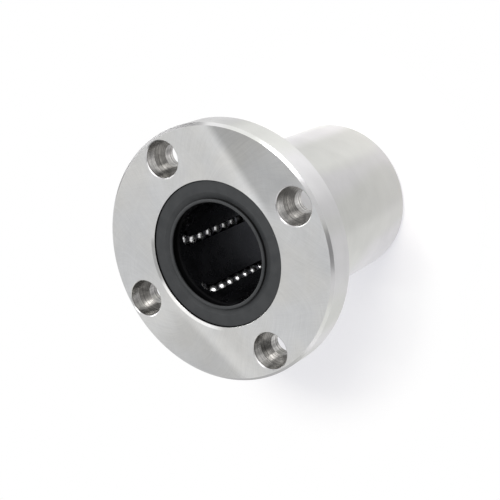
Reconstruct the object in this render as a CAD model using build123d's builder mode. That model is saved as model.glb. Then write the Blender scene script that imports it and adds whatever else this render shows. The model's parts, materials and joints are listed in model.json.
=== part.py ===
from build123d import *
import os
from math import acos, cos, degrees, floor, radians, sin

# Flanged linear ball bearing in millimetres, standing on the plain end of its sleeve.
# +Z runs along the bore with the flange on top, and the origin is the centre of the lower end.

# Shaft and balls
shaft_d = 25.0
ball_d = 3.5
ball_gap = 0.03
turn_ball_gap = 0.06
turn_ball_count = 2

# Ball circuits: each has a load row on the shaft and a return row that lies further out
circuit_count = 6
first_load_row_angle = 13.6
return_rise = 1.0
circuit_phases = (0.5, 0.0, 0.25)
channel_clearance = 0.1

# Sleeve with its integral flange
overall_length = 59.0
sleeve_wall = 2.85
raceway_clearance = 0.02
relief_clearance = 0.15
raceway_lead_in = 0.4
raceway_lead_in_length = 1.2
flange_thickness = 8.0
flange_rim = 1.0
outer_chamfer = 0.65
sleeve_end_chamfer = 0.9

# Counterbored bolt holes
bolt_hole_count = 4
first_bolt_angle = 45.0
bolt_hole_d = 5.5
counterbore_d = 9.0
counterbore_depth = 5.1
counterbore_land = 1.0
counterbore_chamfer = 0.2

# Ball retainer
retainer_bore_gap = 0.35
retainer_outer_gap = 0.12
retainer_end_wall = 0.8
retainer_chamfer = 0.3

# End seals
seal_seat_step = 0.5
seal_fit = 0.05
seal_recess = 0.4
seal_depth = 2.1
seal_seat_chamfer = 0.1
seal_lip_width = 0.8
seal_lip_round = 0.3
seal_lip_contact = 0.3
seal_lip_taper = 1.2
seal_lip_lean = 0.1
seal_groove_floor = 0.2
seal_groove_depth = 0.6
seal_groove_slope = 1.4
seal_edge_chamfer = 0.15

# Snap rings
snap_ring_thickness = 0.9
snap_ring_width = 3.0
snap_groove_depth = 0.55
snap_ring_radial_play = 0.1
snap_ring_axial_play = 0.03
snap_ring_opening = 24.0
snap_ring_corner = 0.6

# Radii, from the shaft outwards
shaft_r = shaft_d / 2
ball_r = ball_d / 2
load_row_r = shaft_r + ball_r
return_row_r = load_row_r + return_rise
channel_r = ball_r + channel_clearance
raceway_r = load_row_r + ball_r + raceway_clearance
relief_r = return_row_r + ball_r + relief_clearance
seal_seat_r = relief_r + seal_seat_step
seal_r = seal_seat_r - seal_fit
seal_lip_r = shaft_r + seal_lip_width
seal_groove_r = seal_lip_r - seal_lip_lean
snap_groove_r = seal_seat_r + snap_groove_depth
snap_ring_r = snap_groove_r - snap_ring_radial_play
sleeve_r = relief_r + sleeve_wall
bolt_circle_r = sleeve_r + counterbore_land + counterbore_d / 2
flange_r = bolt_circle_r + counterbore_d / 2 + flange_rim
retainer_bore_r = shaft_r + retainer_bore_gap
retainer_outer_r = raceway_r - retainer_outer_gap

# Depths, from each end of the sleeve inwards
snap_groove_start = seal_depth + snap_ring_axial_play
snap_groove_end = snap_groove_start + snap_ring_thickness + 2 * snap_ring_axial_play
retainer_depth = snap_groove_end + snap_ring_axial_play
retainer_length = overall_length - 2 * retainer_depth

# One ball circuit is a loop of two straight rows and two half-circle turns
ball_pitch = ball_d + ball_gap
turn_step = 180 / turn_ball_count
turn_r = (ball_d + turn_ball_gap) / 2 / sin(radians(turn_step / 2))
row_room = retainer_length - 2 * (retainer_end_wall + channel_r + turn_r)
row_ball_count = floor(row_room / ball_pitch)
row_length = row_ball_count * ball_pitch
raceway_depth = (overall_length - row_length) / 2

# The loop lies in one flat plane, so its width sets the angle between its two rows
row_angle = degrees(acos(
    (load_row_r**2 + return_row_r**2 - (2 * turn_r) ** 2) / (2 * load_row_r * return_row_r)
))
first_return_row_angle = first_load_row_angle - row_angle


def loop_plane(load_row_angle):
    """A circuit's plane: x points to its load row, y up the bearing, z outwards."""
    load_row = Vector(load_row_r, 0).rotate(Axis.Z, load_row_angle)
    return_row = Vector(return_row_r, 0).rotate(Axis.Z, load_row_angle - row_angle)
    across = (load_row - return_row).normalized()
    middle = (load_row + return_row) / 2 + Vector(0, 0, overall_length / 2)
    return Plane(origin=middle, x_dir=across, z_dir=across.cross(Vector(0, 0, 1)))


def end_plane(height, outwards):
    """A half-section plane at one end: x is the radius and y points out of the bearing."""
    return Plane(origin=(0, 0, height), x_dir=(1, 0, 0), z_dir=(0, -outwards, 0))


ends = {"rear": end_plane(0, -1), "front": end_plane(overall_length, 1)}
os.makedirs("parts", exist_ok=True)

# Sleeve and flange, turned from one piece
with BuildPart() as sleeve:
    with BuildSketch():
        Circle(sleeve_r)
    extrude(amount=overall_length)
    with BuildSketch(Plane.XY.offset(overall_length - flange_thickness)):
        Circle(flange_r)
    extrude(amount=flange_thickness)
    rims = sleeve.edges().filter_by(GeomType.CIRCLE)
    chamfer(rims.group_by(SortBy.RADIUS)[-1], outer_chamfer)
    chamfer(rims.group_by(Axis.Z)[0], sleeve_end_chamfer)

    # Bored from each end: seal seat, snap ring groove, turn relief, then the raceway
    for end in ends.values():
        with BuildSketch(end):
            with BuildLine():
                Polyline(
                    (0, 0),
                    (seal_seat_r + seal_seat_chamfer, 0),
                    (seal_seat_r, -seal_seat_chamfer),
                    (seal_seat_r, -snap_groove_start),
                    (snap_groove_r, -snap_groove_start),
                    (snap_groove_r, -snap_groove_end),
                    (relief_r, -snap_groove_end),
                    (relief_r, -raceway_depth),
                    (raceway_r + raceway_lead_in, -raceway_depth),
                    (raceway_r, -raceway_depth - raceway_lead_in_length),
                    (raceway_r, -overall_length / 2),
                    (0, -overall_length / 2),
                    close=True,
                )
            make_face()
        revolve(axis=Axis.Z, mode=Mode.SUBTRACT)

    # Grooves that let the unloaded balls run back, clear of the raceway
    with BuildSketch(Plane.XY.offset(raceway_depth)):
        with PolarLocations(return_row_r, circuit_count, start_angle=first_return_row_angle):
            Circle(channel_r)
    extrude(amount=row_length, mode=Mode.SUBTRACT)

    with Locations((0, 0, overall_length)):
        with PolarLocations(bolt_circle_r, bolt_hole_count, start_angle=first_bolt_angle):
            CounterBoreHole(bolt_hole_d / 2, counterbore_d / 2, counterbore_depth)
    mouths = sleeve.faces().sort_by(Axis.Z)[-1].inner_wires().edges()
    chamfer(mouths.filter_by(lambda edge: edge.radius < sleeve_r / 2), counterbore_chamfer)
sleeve.part.label = "flanged_sleeve"
export_step(sleeve.part, "parts/flanged_sleeve.step")

# What one circuit takes out of the retainer: a tube round the loop, open to the outside
first_loop = loop_plane(first_load_row_angle)
with BuildPart() as channel:
    for side in (-1, 1):
        turn_centre = first_loop.from_local_coords((0, side * row_length / 2, 0))
        with BuildSketch(Plane(turn_centre, first_loop.x_dir, first_loop.y_dir * -side)) as tube:
            with Locations((side * turn_r, 0)):
                Circle(channel_r)
        extrude(amount=row_length)
        revolve(tube.sketch, axis=Axis(turn_centre, first_loop.z_dir), revolution_arc=180)
    with BuildSketch(first_loop):
        SlotCenterToCenter(row_length, 2 * (turn_r + channel_r), rotation=90)
        SlotCenterToCenter(row_length, 2 * (turn_r - channel_r), rotation=90, mode=Mode.SUBTRACT)
    extrude(amount=sleeve_r - load_row_r)

# Moulded retainer that keeps every circuit apart
with BuildPart() as retainer:
    with BuildSketch(Plane.XY.offset(retainer_depth)):
        Circle(retainer_outer_r)
        Circle(retainer_bore_r, mode=Mode.SUBTRACT)
    extrude(amount=retainer_length)
    chamfer(retainer.edges().filter_by(GeomType.CIRCLE), retainer_chamfer)
    with PolarLocations(0, circuit_count):
        add(channel.part, mode=Mode.SUBTRACT)
retainer.part.label = "ball_retainer"
export_step(retainer.part, "parts/ball_retainer.step")

for name, end in ends.items():
    # Rubber seal: a flat washer that slopes down to a groove, then the round-topped lip
    with BuildPart() as seal:
        with BuildSketch(end):
            with BuildLine():
                Polyline(
                    (shaft_r, 0),
                    (seal_lip_r, 0),
                    (seal_groove_r, -seal_recess - seal_groove_depth),
                    (seal_groove_r + seal_groove_floor, -seal_recess - seal_groove_depth),
                    (seal_groove_r + seal_groove_floor + seal_groove_slope, -seal_recess),
                    (seal_r - seal_edge_chamfer, -seal_recess),
                    (seal_r, -seal_recess - seal_edge_chamfer),
                    (seal_r, -seal_depth),
                    (shaft_r + seal_lip_taper, -seal_depth),
                    (shaft_r, -seal_lip_round - seal_lip_contact),
                    close=True,
                )
            section = make_face()
            fillet(section.vertices().group_by(Axis.Y)[-1], seal_lip_round)
        revolve(axis=Axis.Z)
    seal.part.label = f"{name}_seal"
    export_step(seal.part, f"parts/{name}_seal.step")

    # Snap ring between the seal and the retainer, open on one side so that it springs in
    with BuildPart() as snap_ring:
        with BuildSketch(end):
            with Locations((snap_ring_r, -snap_groove_start - snap_ring_axial_play)):
                Rectangle(snap_ring_width, snap_ring_thickness, align=(Align.MAX, Align.MAX))
        revolve(axis=Axis.Z, revolution_arc=360 - snap_ring_opening)
        fillet(snap_ring.edges().filter_by(Axis.Z), snap_ring_corner)
    snap_ring.part.label = f"{name}_snap_ring"
    export_step(snap_ring.part, f"parts/{name}_snap_ring.step")


def turn_points(count, centre_y, start_angle):
    """Ball centres round one turn, in the circuit's plane."""
    angles = [radians(start_angle + i * turn_step) for i in range(count)]
    return [(turn_r * cos(a), centre_y + turn_r * sin(a)) for a in angles]


# Balls, in four groups to a circuit: two straight rows and two turns
for circuit in range(circuit_count):
    phase = circuit_phases[circuit % len(circuit_phases)]
    loop = loop_plane(first_load_row_angle + circuit * 360 / circuit_count)
    row_steps = [(i + phase) * ball_pitch - row_length / 2 for i in range(row_ball_count)]
    groups = {
        "load_balls": [(turn_r, y) for y in row_steps],
        "top_turn_balls": turn_points(turn_ball_count, row_length / 2, phase * turn_step),
        "return_balls": [(-turn_r, -y) for y in row_steps],
        "bottom_turn_balls": turn_points(turn_ball_count, -row_length / 2, 180 + phase * turn_step),
    }
    for name, centres in groups.items():
        with BuildPart(loop) as balls:
            with Locations(*centres):
                Sphere(ball_r)
        balls.part.label = f"{name}_{circuit + 1}"
        export_step(balls.part, f"parts/{balls.part.label}.step")
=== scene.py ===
import json
import math
import bpy
from mathutils import Matrix, Vector


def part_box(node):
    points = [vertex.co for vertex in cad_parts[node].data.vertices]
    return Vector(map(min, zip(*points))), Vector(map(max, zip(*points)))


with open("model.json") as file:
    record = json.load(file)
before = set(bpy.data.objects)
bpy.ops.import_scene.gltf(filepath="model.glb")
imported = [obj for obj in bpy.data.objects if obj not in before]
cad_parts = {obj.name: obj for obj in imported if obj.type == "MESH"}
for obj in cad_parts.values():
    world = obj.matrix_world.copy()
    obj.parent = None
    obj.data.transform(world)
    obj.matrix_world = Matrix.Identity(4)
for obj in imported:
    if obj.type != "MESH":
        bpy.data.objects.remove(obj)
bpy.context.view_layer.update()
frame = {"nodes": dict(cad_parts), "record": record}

# A flanged linear ball bearing on a white studio floor. Metres, +Z up along the bore.
# A heading is an angle round the bore in degrees, from +X towards +Y.
# A span is the pair of values at which something starts and at which it is full.
MM = 0.001

# Sizes read from the frame
sleeve_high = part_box("flanged_sleeve")[1]
flange_r = sleeve_high.x
top = sleeve_high.z
seal_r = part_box("front_seal")[1].x
mounts = {mount["name"]: mount for mount in frame["record"]["mounts"]}
bolt_circle_r = mounts["flange_bolts"]["dims"]["pcd_mm"] * MM / 2
# the bolt holes lie midway between the axes
bolt_offset = bolt_circle_r * math.cos(math.radians(45))
flange_seat_z = mounts["flange_seat"]["pos_m"][2]
shaft_r = mounts["shaft_bore"]["dims"]["r_mm"] * MM

# Sizes that repeat the source's: the counterbores' radius, how deep the retainer's ends lie, the lip
COUNTERBORE_R = 4.5 * MM
RETAINER_DEPTH = 3.12 * MM
LIP_WIDTH = 0.8 * MM

# Steel tints: two for the ground front, two for the turned faces, one for the counterbores
GROUND_COOL = (0.585, 0.59, 0.595, 1.0)
GROUND_WARM = (0.598, 0.595, 0.583, 1.0)
TURNED_OILED = (0.578, 0.580, 0.560, 1.0)
TURNED_CLEAN = (0.608, 0.602, 0.608, 1.0)
BORED = (0.618, 0.607, 0.59, 1.0)

# How bright each pattern makes the steel, at its darkest and at its brightest
OUTWARD_LEVELS = (0.95, 1.05)
CROSSING_LEVELS = (0.965, 1.035)
TURNED_LEVELS = (1.05, 1.12)
CLOUD_LEVELS = (0.97, 1.03)
HOLE_RING_LEVELS = (0.4, 1.3)
HOLE_CLOUD_LEVELS = (0.72, 1.03)
HOLE_PATCH_LEVELS = (0.64, 1.18)

# How bright single parts of the steel are beside the rest
FLANGE_GAIN = 0.97
BEVEL_GAIN = 0.9
JOINT_LEVEL = 0.03

# How rough the steel is: the front's and the rim's are added to the turned faces' own
TURNED_ROUGHNESS = (0.33, 0.41)
FRONT_ROUGHNESS = 0.07
RIM_ROUGHNESS = 0.06
BEVEL_ROUGHNESS = 0.30
DULL_ROUGHNESS = 0.45
HOLE_ROUGHNESS = 0.22

# The steel shines as if finely marked round the bore, or round the bolt hole inside a counterbore
ANISOTROPY = 0.8
QUARTER_TURN = 0.25

# How fine each pattern of the steel is, per metre
FINE_RINGS = 9000.0
BROAD_RINGS = 1100.0
HOLE_RINGS = 2400.0
HOLE_CLOUD = 420.0
STEEL_CLOUD = 190.0
STEEL_BLOTCHES = 75.0
OIL_FILM = 55.0
# How fine the oil film is along the bore beside its fineness across
FILM_ALONG = 0.25
# How fine the patches round a counterbore are, and how far apart the four holes' patterns lie
HOLE_PATCHES = 1.6
HOLE_PATCH_SHIFT = 7.0

# How high the fine tool rings stand, and how strong the others are beside them
STEEL_RELIEF = 0.004 * MM
BROAD_RELIEF = 0.6
HOLE_RELIEF = 6.0

# Grinding streaks: how fine, how long, how much they wander and how fast they swirl round the bore
STREAK_FINENESS = 95.0
STREAK_LENGTH = 4.0 * MM
STREAK_WANDER = 0.2
WANDER_SCALE = 45.0
OUTWARD_SWIRL = 30.0
CROSSING_SWIRL = -45.0

# Spans that part the finishes of the steel, by slope, height, depth and radius
FRONT_SLOPE = (0.9, 0.98)
BEVEL_SLOPE = (0.5, 0.65)
FRONT_HEIGHT = (top - 0.3 * MM, top - 0.1 * MM)
FLANGE_HEIGHT = (flange_seat_z - 0.1 * MM, flange_seat_z)
RIM_RADIUS = (flange_r - 1.5 * MM, flange_r - 1.2 * MM)
HOLE_RADIUS = (COUNTERBORE_R + 0.12 * MM, COUNTERBORE_R + 0.02 * MM)
HOLE_MOUTH = (top - 0.12 * MM, top - 0.3 * MM)
HOLE_FLOOR = (flange_seat_z, flange_seat_z + 0.1 * MM)
JOINT_RADIUS = (seal_r + 0.18 * MM, seal_r + 0.14 * MM)
JOINT_DEPTH = (0.02 * MM, 0.08 * MM)
GLINT_INSIDE = (seal_r + 0.1 * MM, seal_r + 0.2 * MM)
GLINT_OUTSIDE = (seal_r + 1.1 * MM, seal_r + 0.8 * MM)

# Painted lighter and darker stretches of the rim, standing in for its reflections: heading of the middle,
# half width in degrees, how bright the side is, how bright the bevel is, and whether both are dull
RIM_PAINTED_BANDS = (
    (320.0, 38.0, 0.74, 0.40, True),
    (128.0, 30.0, 0.90, 0.76, True),
    (154.0, 26.0, 0.88, 1.0, True),
    (78.0, 34.0, 1.0, 0.80, False),
    (247.0, 30.0, 1.18, 1.0, False),
    (268.0, 20.0, 1.0, 1.45, False),
)
# Painted lighter and darker stretches of the sleeve below the flange, standing in for its reflections:
# heading of the middle, half width, how bright
SLEEVE_PAINTED_BANDS = ((217.0, 28.0, 0.89), (291.0, 26.0, 1.12))
# Painted glints on the band round the seal, a painted highlight and a painted grey shade: heading of the
# middle, half width, how bright
PAINTED_GLINTS = ((72.0, 36.0, 1.5), (24.0, 20.0, 0.68))
# The part of a stretch's half width over which it is full
STRETCH_CORE = 0.6

# Painted dark wedges of the ground front, standing in for the dark part of its fanned reflection: heading,
# how far out the chord lies, how bright
PAINTED_WEDGES = ((230.0, 18.6 * MM, 0.61), (64.0, 19.3 * MM, 0.78))
# How soft the wedge is at its chord and at its end, and the painted gleam that starts before the chord
WEDGE_EDGE = 1.4 * MM
WEDGE_END = 4.2 * MM
GLEAM_LEAD = 5.6 * MM
GLEAM_END = 8.4 * MM
GLEAM_GAIN = 1.09

# Retainer: its colours, gloss and patterns
RESIN_BLACK = (0.0015, 0.0015, 0.0018, 1.0)
RESIN_WORN = (0.003, 0.003, 0.0035, 1.0)
RESIN_ROUGHNESS = (0.22, 0.32)
RESIN_SPECULAR = 0.38
RESIN_CLOUD = 220.0
RESIN_GRAIN = 2600.0
RESIN_RELIEF = 0.001 * MM
# Its end faces with their chamfers: matte, and with their reflection dimmed, as painted shade
RETAINER_END = (RETAINER_DEPTH + 0.4 * MM, RETAINER_DEPTH + 0.35 * MM)
RETAINER_END_ROUGHNESS = 0.7
RETAINER_END_SHADE_TINT = 0.2

# Seal: its colours, gloss and patterns
RUBBER_DARK = (0.024, 0.0255, 0.027, 1.0)
RUBBER_LIGHT = (0.033, 0.0345, 0.036, 1.0)
RUBBER_DUST = (0.16, 0.16, 0.155, 1.0)
RUBBER_ROUGHNESS = (0.52, 0.68)
RUBBER_SPECULAR = 0.35
RUBBER_CLOUD = 400.0
RUBBER_GRAIN = 5200.0
RUBBER_RELIEF = 0.012 * MM
SPECK_SCALE = 1900.0
SPECK_SPAN = (0.76, 0.80)
# Its slightly lighter lip, and the lip's two sides, painted dark below the edge as shade
LIP_RADIUS = (shaft_r + LIP_WIDTH + 0.08 * MM, shaft_r + LIP_WIDTH + 0.03 * MM)
LIP_GAIN = 1.05
LIP_SHADE_DEPTH = (0.25 * MM, 0.5 * MM)
LIP_SHADE_LEVEL = 0.03

# Snap rings: their two greys, gloss and patterns
SPRING_DARK = 0.12
SPRING_LIGHT = 0.22
SPRING_ROUGHNESS = (0.3, 0.5)
SPRING_CLOUD = 300.0
SPRING_GRAIN = 3000.0
SPRING_RELIEF = 0.003 * MM

# Balls: their greys, gloss and film
BALL_DARK = 0.84
BALL_LIGHT = 0.90
BALL_SHADE_GREY = 0.06
BALL_ROUGHNESS = (0.25, 0.33)
BALL_FILM = 700.0
BALL_RELIEF = 0.001 * MM
# How far a ball's side faces the nearer end where its painted shade starts and where that is full
BALL_SHADE_SLOPE = (0.14, -0.08)

# Floor: a hair below the sleeve, whose end face would otherwise share its plane
FLOOR_HEIGHT = -0.02 * MM
FLOOR_SIDE = 1.2
FLOOR_COLOUR = (0.56, 0.535, 0.49, 1.0)
FLOOR_GLOW = (0.86, 0.89, 1.0, 1.0)
FLOOR_GLOW_STRENGTH = 0.50
# It turns white with the distance from the bearing's base and from the middle of the shadow
SHADOW_CENTRE = (0.008, 0.032, 0.0)
BASE_FADE = (0.024, 0.042)
SHADOW_FADE = (0.022, 0.052)

# How strongly the world lights the bearing, and how dark the cards are that it mirrors
AMBIENT = 0.60
CARD_GREY = 0.02

# The photograph's camera
CAMERA_PLACE = Vector((-128.88, -107.72, 271.05)) * MM
CAMERA_TARGET = Vector((-8.854, -4.377, 59.0)) * MM
CAMERA_ROLL = math.radians(-116.04)
CAMERA_NEAR = 0.01
LENS = 84.12
SENSOR = 36.0


class Tree:
    """A material's or the world's nodes, with short ways to add and join them."""

    def __init__(self, owner):
        owner.use_nodes = True
        self.nodes = owner.node_tree.nodes
        self.links = owner.node_tree.links

    def put(self, socket, value):
        """Joins value to socket if it is another node's output, or sets it as a plain value."""
        if isinstance(value, bpy.types.NodeSocket):
            self.links.new(value, socket)
        else:
            socket.default_value = value

    def add(self, kind, inputs=(), **settings):
        node = self.nodes.new(kind)
        for name, value in settings.items():
            setattr(node, name, value)
        for key, value in dict(inputs).items():
            self.put(node.inputs[key], value)
        return node

    def math(self, operation, *values):
        return self.add("ShaderNodeMath", enumerate(values), operation=operation).outputs[0]

    def plus(self, first, second):
        return self.math("ADD", first, second)

    def times(self, first, *others):
        """The product of all the values."""
        for other in others:
            first = self.math("MULTIPLY", first, other)
        return first

    def outside(self, mask):
        """1 where a mask is 0, and 0 where it is 1."""
        return self.math("SUBTRACT", 1.0, mask)

    def noise(self, vector, scale, detail=3.0, roughness=0.5):
        """Soft noise between about 0.3 and 0.7."""
        inputs = {"Vector": vector, "Scale": scale, "Detail": detail, "Roughness": roughness}
        return self.add("ShaderNodeTexNoise", inputs).outputs["Fac"]

    def spread(self, value, low, high, to_low=0.0, to_high=1.0, smooth=False):
        """value, taken from one span to another and held at its ends."""
        inputs = {"Value": value, "From Min": low, "From Max": high, "To Min": to_low, "To Max": to_high}
        kind = "SMOOTHSTEP" if smooth else "LINEAR"
        return self.add("ShaderNodeMapRange", inputs, interpolation_type=kind).outputs["Result"]

    def varied(self, noise, low=0.0, high=1.0, reach=0.2, smooth=False):
        """low to high, as noise goes from reach below its middle to reach above it."""
        return self.spread(noise, 0.5 - reach, 0.5 + reach, low, high, smooth)

    def mix(self, factor, first, second):
        """The colour or vector that lies between first and second."""
        node = self.add("ShaderNodeMix", data_type="RGBA")
        for socket, value in zip((node.inputs[0], node.inputs[6], node.inputs[7]), (factor, first, second)):
            self.put(socket, value)
        return node.outputs[2]

    def lerp(self, factor, first, second):
        """The number that lies between first and second."""
        node = self.add("ShaderNodeMix", data_type="FLOAT")
        for socket, value in zip((node.inputs[0], node.inputs[2], node.inputs[3]), (factor, first, second)):
            self.put(socket, value)
        return node.outputs[0]

    def shaded(self, level, mask, gain):
        """level, times gain where the mask is 1."""
        return self.times(level, self.lerp(mask, 1.0, gain))

    def scaled(self, colour, level):
        inputs = {0: colour, "Scale": level}
        return self.add("ShaderNodeVectorMath", inputs, operation="SCALE").outputs[0]

    def split(self, vector):
        """The x, y and z of a vector."""
        return self.add("ShaderNodeSeparateXYZ", {"Vector": vector}).outputs

    def combine(self, x=0.0, y=0.0, z=0.0):
        return self.add("ShaderNodeCombineXYZ", {"X": x, "Y": y, "Z": z}).outputs[0]

    def place(self):
        """The shaded point's place, in metres."""
        return self.add("ShaderNodeTexCoord").outputs["Object"]

    def distance(self, x, y):
        return self.math("SQRT", self.plus(self.times(x, x), self.times(y, y)))

    def toward(self, x, y, heading):
        """How far a place lies along a heading."""
        turn = math.radians(heading)
        return self.plus(self.times(x, math.cos(turn)), self.times(y, math.sin(turn)))

    def end_depth(self, height):
        """How deep a height lies below the nearer end of the bearing."""
        return self.math("MINIMUM", height, self.math("SUBTRACT", top, height))

    def stretch(self, angle, heading, half_width):
        """1 in the middle of a stretch round the bore, and 0 outside it."""
        turn = self.math("COSINE", self.math("SUBTRACT", angle, math.radians(heading)))
        span = [math.cos(math.radians(half_width * part)) for part in (1.0, STRETCH_CORE)]
        return self.spread(turn, *span, smooth=True)

    def bump(self, height, distance):
        return self.add("ShaderNodeBump", {"Height": height, "Distance": distance}).outputs["Normal"]


def grey(level):
    return (level, level, level, 1.0)


def material(name):
    """A new material, its tree and its shader node, which is already joined to the output."""
    made = bpy.data.materials.new(name)
    tree = Tree(made)
    return made, tree, tree.nodes["Principled BSDF"]


def tool_rings(tree, radius, height, fineness, detail=3.0, roughness=0.5):
    """Rings round an axis, on flat faces and on round walls."""
    steps = tree.times(tree.plus(radius, height), fineness)
    return tree.noise(tree.combine(steps), 1.0, detail, roughness)


def grinding_streaks(tree, place, radius, angle, swirl):
    """Fine scratches that run out from the bore in shallow curves, as a face grinder leaves them."""
    wander = tree.varied(tree.noise(place, WANDER_SCALE, detail=1.0), -STREAK_WANDER, STREAK_WANDER)
    bent = tree.plus(tree.plus(angle, wander), tree.times(radius, swirl))
    across = [tree.times(tree.math(way, bent), STREAK_FINENESS) for way in ("COSINE", "SINE")]
    along = tree.times(radius, 1 / STREAK_LENGTH)
    return tree.noise(tree.combine(*across, along), 1.0, roughness=0.65)


def crossed_streaks(tree, place, radius, angle):
    """Two sets of grinding streaks that cross each other."""
    outward = grinding_streaks(tree, place, radius, angle, OUTWARD_SWIRL)
    crossing = grinding_streaks(tree, place, radius, angle, CROSSING_SWIRL)
    return tree.times(tree.varied(outward, *OUTWARD_LEVELS), tree.varied(crossing, *CROSSING_LEVELS))


def painted_wedges_and_gleams(tree, x, y):
    """The painted dark wedges of the ground front, standing in for its dark reflection, each bounded by a
    chord beside the seal and soft at one end, with a painted gleam before the chord.
    """
    level = 1.0
    for heading, chord, gain in PAINTED_WEDGES:
        outward = tree.toward(x, y, heading)
        sideways = tree.toward(x, y, heading + 90)
        # a painted gleam just before the chord
        gleam = tree.times(
            tree.spread(outward, chord - GLEAM_LEAD, chord - WEDGE_EDGE, smooth=True),
            tree.spread(sideways, 0.0, GLEAM_END),
        )
        # the wedge itself: painted shade, standing in for a dark reflection
        dull = tree.times(
            tree.spread(outward, chord - WEDGE_EDGE, chord + WEDGE_EDGE, smooth=True),
            tree.spread(sideways, -WEDGE_END, WEDGE_END, smooth=True),
        )
        level = tree.shaded(level, gleam, GLEAM_GAIN)
        level = tree.shaded(level, dull, gain)
    return level


def painted_seal_glints(tree, radius, angle):
    """The narrow band round the seal, with a painted highlight on one side and painted grey shade beside it.
    """
    band = tree.times(tree.spread(radius, *GLINT_OUTSIDE), tree.spread(radius, *GLINT_INSIDE))
    level = 1.0
    for heading, half_width, gain in PAINTED_GLINTS:
        level = tree.shaded(level, tree.times(tree.stretch(angle, heading, half_width), band), gain)
    return level


def counterbores(tree, place):
    """Where the counterbores are, the place measured from the hole's axis, their rings and their shade."""
    x, y, height = tree.split(place)
    sides = [tree.math("SIGN", value) for value in (x, y)]
    # the four lie alike, so they are folded into one
    folded = [tree.math("SUBTRACT", tree.math("ABSOLUTE", value), bolt_offset) for value in (x, y)]
    radius = tree.distance(*folded)
    inside = tree.times(
        tree.spread(radius, *HOLE_RADIUS),
        tree.spread(height, *HOLE_MOUTH),
        tree.spread(height, *HOLE_FLOOR),
    )
    from_axis = [tree.times(side, value) for side, value in zip(sides, folded)]
    rings = tool_rings(tree, radius, height, HOLE_RINGS)
    # light and dark patches round the wall, partly random tone and partly painted reflection streaks along
    # the tool marks, shifted so that the four holes differ
    round_wall = [tree.math("DIVIDE", tree.times(value, HOLE_PATCHES), radius) for value in from_axis]
    shifted = [tree.plus(value, tree.times(side, HOLE_PATCH_SHIFT)) for side, value in zip(sides, round_wall)]
    patches = tree.noise(tree.combine(*shifted), 1.0, detail=2.0)
    shade = tree.times(
        tree.varied(rings, *HOLE_RING_LEVELS, reach=0.15),
        tree.varied(tree.noise(place, HOLE_CLOUD), *HOLE_CLOUD_LEVELS, reach=0.15),
        tree.varied(patches, *HOLE_PATCH_LEVELS, reach=0.12),
    )
    return inside, tree.combine(*from_axis), rings, shade


def painted_rim_bands(tree, level, angle, on_rim, on_bevel):
    """level with the rim's painted lighter and darker stretches, standing in for reflections, and where the
    rim is dull.
    """
    dull = 0.0
    for heading, half_width, side_gain, bevel_gain, is_dull in RIM_PAINTED_BANDS:
        here = tree.times(tree.stretch(angle, heading, half_width), on_rim)
        level = tree.shaded(level, here, tree.lerp(on_bevel, side_gain, bevel_gain))
        if is_dull:
            dull = tree.math("MAXIMUM", dull, here)
    return level, dull


def painted_sleeve_bands(tree, level, angle, on_sleeve):
    """level with the sleeve's painted lighter and darker stretches, standing in for reflections."""
    for heading, half_width, gain in SLEEVE_PAINTED_BANDS:
        level = tree.shaded(level, tree.times(tree.stretch(angle, heading, half_width), on_sleeve), gain)
    return level


def steel_tint(tree, place, on_front, in_hole):
    """Blotches on the front, an oil film drawn out along the turned faces, one tint in the holes."""
    x, y, height = tree.split(place)
    blotches = tree.varied(tree.noise(place, STEEL_BLOTCHES), reach=0.12)
    drawn = tree.combine(x, y, tree.times(height, FILM_ALONG))
    film = tree.varied(tree.noise(drawn, OIL_FILM, detail=2.0), reach=0.08, smooth=True)
    turned = tree.mix(film, TURNED_OILED, TURNED_CLEAN)
    outer = tree.mix(on_front, turned, tree.mix(blotches, GROUND_COOL, GROUND_WARM))
    return tree.mix(in_hole, outer, BORED)


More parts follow.
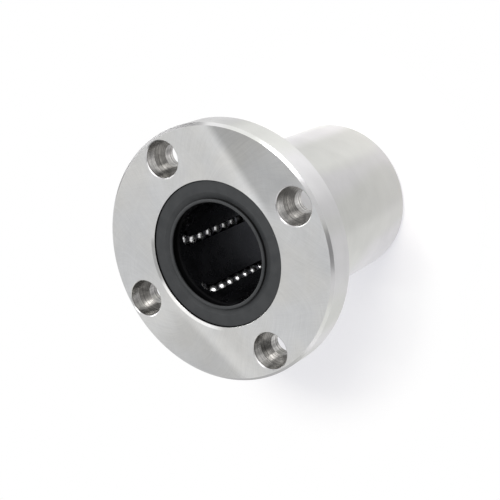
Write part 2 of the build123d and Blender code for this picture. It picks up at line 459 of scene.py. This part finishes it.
def turned_steel():
    """Bearing steel: ground front with painted dark wedges and glints, turned outside with painted lighter
    and darker stretches, tool rings in the counterbores.
    """
    made, tree, shader = material("turned_steel")
    place = tree.place()
    x, y, height = tree.split(place)
    radius = tree.distance(x, y)
    angle = tree.math("ARCTAN2", y, x)
    upward = tree.split(tree.add("ShaderNodeNewGeometry").outputs["Normal"])[2]

    # where each finish is
    facing_up = tree.spread(upward, *FRONT_SLOPE)
    on_front = tree.times(facing_up, tree.spread(height, *FRONT_HEIGHT))
    on_flange = tree.spread(height, *FLANGE_HEIGHT)
    far_out = tree.spread(radius, *RIM_RADIUS)
    on_rim = tree.times(on_flange, tree.outside(on_front), far_out)
    on_bevel = tree.times(tree.spread(upward, *BEVEL_SLOPE), tree.outside(facing_up), far_out)
    in_hole, from_hole_axis, hole_rings, hole_shade = counterbores(tree, place)
    # a dark joint line where the seal meets its seat
    depth = tree.end_depth(height)
    in_joint = tree.times(tree.spread(radius, *JOINT_RADIUS), tree.spread(depth, *JOINT_DEPTH))

    # how bright it is
    fine_rings = tool_rings(tree, radius, height, FINE_RINGS, detail=2.0, roughness=0.6)
    broad_rings = tool_rings(tree, radius, height, BROAD_RINGS)
    streaks = crossed_streaks(tree, place, radius, angle)
    # the ground front's level holds the painted dark wedges and the painted glints round the seal
    ground = tree.times(streaks, painted_wedges_and_gleams(tree, x, y), painted_seal_glints(tree, radius, angle))
    turned = tree.shaded(tree.varied(fine_rings, *TURNED_LEVELS), on_flange, FLANGE_GAIN)
    level = tree.lerp(on_front, turned, ground)
    level = tree.times(level, tree.varied(tree.noise(place, STEEL_CLOUD, detail=4.0), *CLOUD_LEVELS))
    level = tree.lerp(in_hole, level, hole_shade)
    level = tree.shaded(level, on_bevel, BEVEL_GAIN)
    # painted reflections and painted shade in stretches round the rim and the sleeve
    level, dull = painted_rim_bands(tree, level, angle, on_rim, on_bevel)
    level = painted_sleeve_bands(tree, level, angle, tree.outside(on_flange))
    level = tree.lerp(in_joint, level, JOINT_LEVEL)
    tree.put(shader.inputs["Base Color"], tree.scaled(steel_tint(tree, place, on_front, in_hole), level))

    # how rough it is
    roughness = tree.varied(broad_rings, *TURNED_ROUGHNESS)
    roughness = tree.plus(roughness, tree.times(on_front, FRONT_ROUGHNESS))
    roughness = tree.plus(roughness, tree.times(on_rim, RIM_ROUGHNESS))
    roughness = tree.lerp(on_bevel, roughness, BEVEL_ROUGHNESS)
    roughness = tree.lerp(dull, roughness, DULL_ROUGHNESS)
    roughness = tree.lerp(in_hole, roughness, HOLE_ROUGHNESS)
    tree.put(shader.inputs["Roughness"], roughness)
    shader.inputs["Metallic"].default_value = 1.0
    shader.inputs["Anisotropic"].default_value = ANISOTROPY
    shader.inputs["Anisotropic Rotation"].default_value = QUARTER_TURN

    # the way the tool went, and its marks
    from_axis = tree.mix(in_hole, place, from_hole_axis)
    vectors = {0: (0.0, 0.0, 1.0), 1: from_axis}
    tangent = tree.add("ShaderNodeVectorMath", vectors, operation="CROSS_PRODUCT")
    tree.put(shader.inputs["Tangent"], tangent.outputs[0])
    marks = tree.plus(fine_rings, tree.times(broad_rings, BROAD_RELIEF))
    marks = tree.lerp(on_front, marks, streaks)
    marks = tree.lerp(in_hole, marks, tree.times(hole_rings, HOLE_RELIEF))
    tree.put(shader.inputs["Normal"], tree.bump(marks, STEEL_RELIEF))
    return made


def moulded_resin():
    """Black glossy resin with a trace of flow marks, matte at the retainer's ends, whose reflection is dimmed
    as painted shade.
    """
    made, tree, shader = material("moulded_resin")
    place = tree.place()
    at_end = tree.spread(tree.end_depth(tree.split(place)[2]), *RETAINER_END)
    cloud = tree.noise(place, RESIN_CLOUD, detail=4.0)
    roughness = tree.lerp(at_end, tree.varied(cloud, *RESIN_ROUGHNESS), RETAINER_END_ROUGHNESS)
    tree.put(shader.inputs["Base Color"], tree.mix(tree.varied(cloud, reach=0.15), RESIN_BLACK, RESIN_WORN))
    tree.put(shader.inputs["Roughness"], roughness)
    shader.inputs["Specular IOR Level"].default_value = RESIN_SPECULAR
    # painted shade: the ends' reflection is dimmed by a grey tint
    tree.put(shader.inputs["Specular Tint"], tree.mix(at_end, grey(1.0), grey(RETAINER_END_SHADE_TINT)))
    tree.put(shader.inputs["Normal"], tree.bump(tree.noise(place, RESIN_GRAIN), RESIN_RELIEF))
    return made


def seal_rubber():
    """Matte nitrile rubber: finely grained with specks of dust, a slightly lighter lip, and painted shade on
    the lip's sides.
    """
    made, tree, shader = material("seal_rubber")
    place = tree.place()
    x, y, height = tree.split(place)
    on_lip = tree.spread(tree.distance(x, y), *LIP_RADIUS)
    # painted shade on the lip's sides below its edge, down in the groove
    painted_shade = tree.times(on_lip, tree.spread(tree.end_depth(height), *LIP_SHADE_DEPTH))
    level = tree.lerp(painted_shade, tree.lerp(on_lip, 1.0, LIP_GAIN), LIP_SHADE_LEVEL)
    cloud = tree.varied(tree.noise(place, RUBBER_CLOUD, detail=5.0))
    specks = tree.spread(tree.noise(place, SPECK_SCALE, detail=2.0), *SPECK_SPAN)
    rubber = tree.scaled(tree.mix(cloud, RUBBER_DARK, RUBBER_LIGHT), level)
    grain = tree.noise(place, RUBBER_GRAIN, detail=4.0, roughness=0.7)
    tree.put(shader.inputs["Base Color"], tree.mix(specks, rubber, RUBBER_DUST))
    tree.put(shader.inputs["Roughness"], tree.varied(grain, *RUBBER_ROUGHNESS))
    shader.inputs["Specular IOR Level"].default_value = RUBBER_SPECULAR
    tree.put(shader.inputs["Normal"], tree.bump(grain, RUBBER_RELIEF))
    return made


def spring_steel():
    """Dark oiled spring steel, stamped flat."""
    made, tree, shader = material("oiled_spring_steel")
    place = tree.place()
    cloud = tree.noise(place, SPRING_CLOUD, detail=4.0)
    tree.put(shader.inputs["Base Color"], tree.mix(cloud, grey(SPRING_DARK), grey(SPRING_LIGHT)))
    shader.inputs["Metallic"].default_value = 1.0
    tree.put(shader.inputs["Roughness"], tree.varied(cloud, *SPRING_ROUGHNESS))
    tree.put(shader.inputs["Normal"], tree.bump(tree.noise(place, SPRING_GRAIN), SPRING_RELIEF))
    return made


def ball_steel():
    """Polished chrome steel, with painted shade on the side of each ball that faces away from the nearer end.
    """
    made, tree, shader = material("polished_ball_steel")
    place = tree.place()
    height = tree.split(place)[2]
    upward = tree.split(tree.add("ShaderNodeTexCoord").outputs["Normal"])[2]
    to_end = tree.times(upward, tree.math("SIGN", tree.math("SUBTRACT", height, top / 2)))
    # painted shade on the side of each ball that faces away from the nearer end, toward the next ball
    painted_shade = tree.spread(to_end, *BALL_SHADE_SLOPE)
    film = tree.noise(place, BALL_FILM)
    clean = tree.mix(tree.varied(film), grey(BALL_DARK), grey(BALL_LIGHT))
    tree.put(shader.inputs["Base Color"], tree.mix(painted_shade, clean, grey(BALL_SHADE_GREY)))
    shader.inputs["Metallic"].default_value = 1.0
    tree.put(shader.inputs["Roughness"], tree.varied(film, *BALL_ROUGHNESS))
    tree.put(shader.inputs["Normal"], tree.bump(film, BALL_RELIEF))
    return made


def finish_nodes():
    """Gives every CAD node the finish of its slot."""
    finishes = {
        "sleeve_steel": turned_steel(),
        "retainer_resin": moulded_resin(),
        "seal_rubber": seal_rubber(),
        "spring_steel": spring_steel(),
        "ball_steel": ball_steel(),
    }
    slots = {part["node"]: part["material_slot"] for part in frame["record"]["subparts"]}
    for name, piece in frame["nodes"].items():
        piece.data.materials.clear()
        piece.data.materials.append(finishes[slots[name]])


def seen(tree):
    """1 for what the camera sees directly, in a reflection or through glass, else 0."""
    path = tree.add("ShaderNodeLightPath").outputs
    both = tree.math("MAXIMUM", path["Is Camera Ray"], path["Is Glossy Ray"])
    return tree.math("MAXIMUM", both, path["Is Transmission Ray"])


def new_object(name, data):
    made = bpy.data.objects.new(name, data)
    bpy.context.scene.collection.objects.link(made)
    return made


def rectangle(name, width, length, finish, height=0.0):
    """A flat mesh round the Z axis, with its material."""
    mesh = bpy.data.meshes.new(name)
    corners = [(x * width / 2, y * length / 2, height) for x, y in ((-1, -1), (1, -1), (1, 1), (-1, 1))]
    mesh.from_pydata(corners, [], [(0, 1, 2, 3)])
    mesh.materials.append(finish)
    return mesh


def face_bearing(thing, place, highest):
    """Puts a light or card at a place, facing the bore's axis at its own height or at highest, if lower."""
    thing.location = Vector(place)
    towards = Vector((0, 0, min(highest, thing.location.z))) - thing.location
    thing.rotation_euler = towards.to_track_quat("-Z", "Y").to_euler()


def studio_floor():
    """A pale floor that fades into the white background and keeps the bearing's shadow."""
    made, tree, shader = material("studio_floor")
    tree.nodes.remove(shader)
    place = tree.place()
    from_base, from_shadow = [
        tree.add("ShaderNodeVectorMath", {0: place, 1: centre}, operation="DISTANCE").outputs["Value"]
        for centre in ((0, 0, 0), SHADOW_CENTRE)
    ]
    in_view = seen(tree)
    glow_strength = tree.times(in_view, FLOOR_GLOW_STRENGTH)
    diffuse = tree.add("ShaderNodeBsdfDiffuse", {"Color": FLOOR_COLOUR}).outputs[0]
    glow = tree.add("ShaderNodeEmission", {"Color": FLOOR_GLOW, "Strength": glow_strength}).outputs[0]
    lit = tree.add("ShaderNodeAddShader", {0: diffuse, 1: glow}).outputs[0]
    white = tree.add("ShaderNodeEmission", {"Color": grey(1.0), "Strength": in_view}).outputs[0]
    fade = tree.math(
        "MINIMUM",
        tree.spread(from_base, *BASE_FADE, smooth=True),
        tree.spread(from_shadow, *SHADOW_FADE, smooth=True),
    )
    mixed = tree.add("ShaderNodeMixShader", {0: fade, 1: lit, 2: white}).outputs[0]
    tree.put(tree.nodes["Material Output"].inputs["Surface"], mixed)
    floor = new_object("studio_floor", rectangle("studio_floor", FLOOR_SIDE, FLOOR_SIDE, made, FLOOR_HEIGHT))


def studio_world():
    """White for what is seen, dimmer for what only lights the bearing."""
    world = bpy.data.worlds.new("studio")
    bpy.context.scene.world = world
    tree = Tree(world)
    background = tree.nodes["Background"]
    background.inputs["Color"].default_value = grey(1.0)
    tree.put(background.inputs["Strength"], tree.lerp(seen(tree), AMBIENT, 1.0))


def soft_light(name, place, watts, width, height, mirrored=True):
    """A soft light that the camera doesn't see, nor metal unless it is mirrored."""
    data = bpy.data.lights.new(name, "AREA")
    data.energy = watts
    data.shape = "RECTANGLE"
    data.size = width
    data.size_y = height
    light = new_object(name, data)
    face_bearing(light, place, top / 2)
    light.visible_camera = False
    light.visible_glossy = mirrored


def dark_card(name, place, width, length):
    """A dark card that only shows in reflections, so that the turned faces have something to fan against."""
    made, _, shader = material(name)
    shader.inputs["Base Color"].default_value = grey(CARD_GREY)
    card = new_object(name, rectangle(name, width, length, made))
    face_bearing(card, place, top)
    card.visible_camera = False
    card.visible_diffuse = False
    card.visible_shadow = False
    card.visible_transmission = False


def photo_camera():
    """The photograph's viewpoint, with its roll."""
    data = bpy.data.cameras.new("camera")
    data.lens = LENS
    data.sensor_width = SENSOR
    data.clip_start = CAMERA_NEAR
    camera = new_object("camera", data)
    level = (CAMERA_TARGET - CAMERA_PLACE).to_track_quat("-Z", "Y").to_matrix().to_4x4()
    camera.matrix_world = Matrix.Translation(CAMERA_PLACE) @ level @ Matrix.Rotation(CAMERA_ROLL, 4, "Z")
    bpy.context.scene.camera = camera


finish_nodes()
studio_world()
studio_floor()
soft_light("key_light", place=(-0.06, -0.42, 0.36), watts=1.15, width=0.22, height=0.34)
soft_light("side_light", place=(0.44, -0.085, 0.07), watts=0.85, width=0.30, height=0.08)
soft_light("far_light", place=(-0.29, 0.33, 0.05), watts=0.3, width=0.34, height=0.08)
soft_light("shadow_light", place=(0.01, -0.21, 0.453), watts=1.2, width=0.10, height=0.10, mirrored=False)
dark_card("high_card", place=(-0.33, -0.05, 0.27), width=0.17, length=0.20)
dark_card("low_card", place=(-0.29, -0.25, 0.05), width=0.26, length=0.16)
photo_camera()
bpy.context.scene.view_settings.view_transform = "Standard"
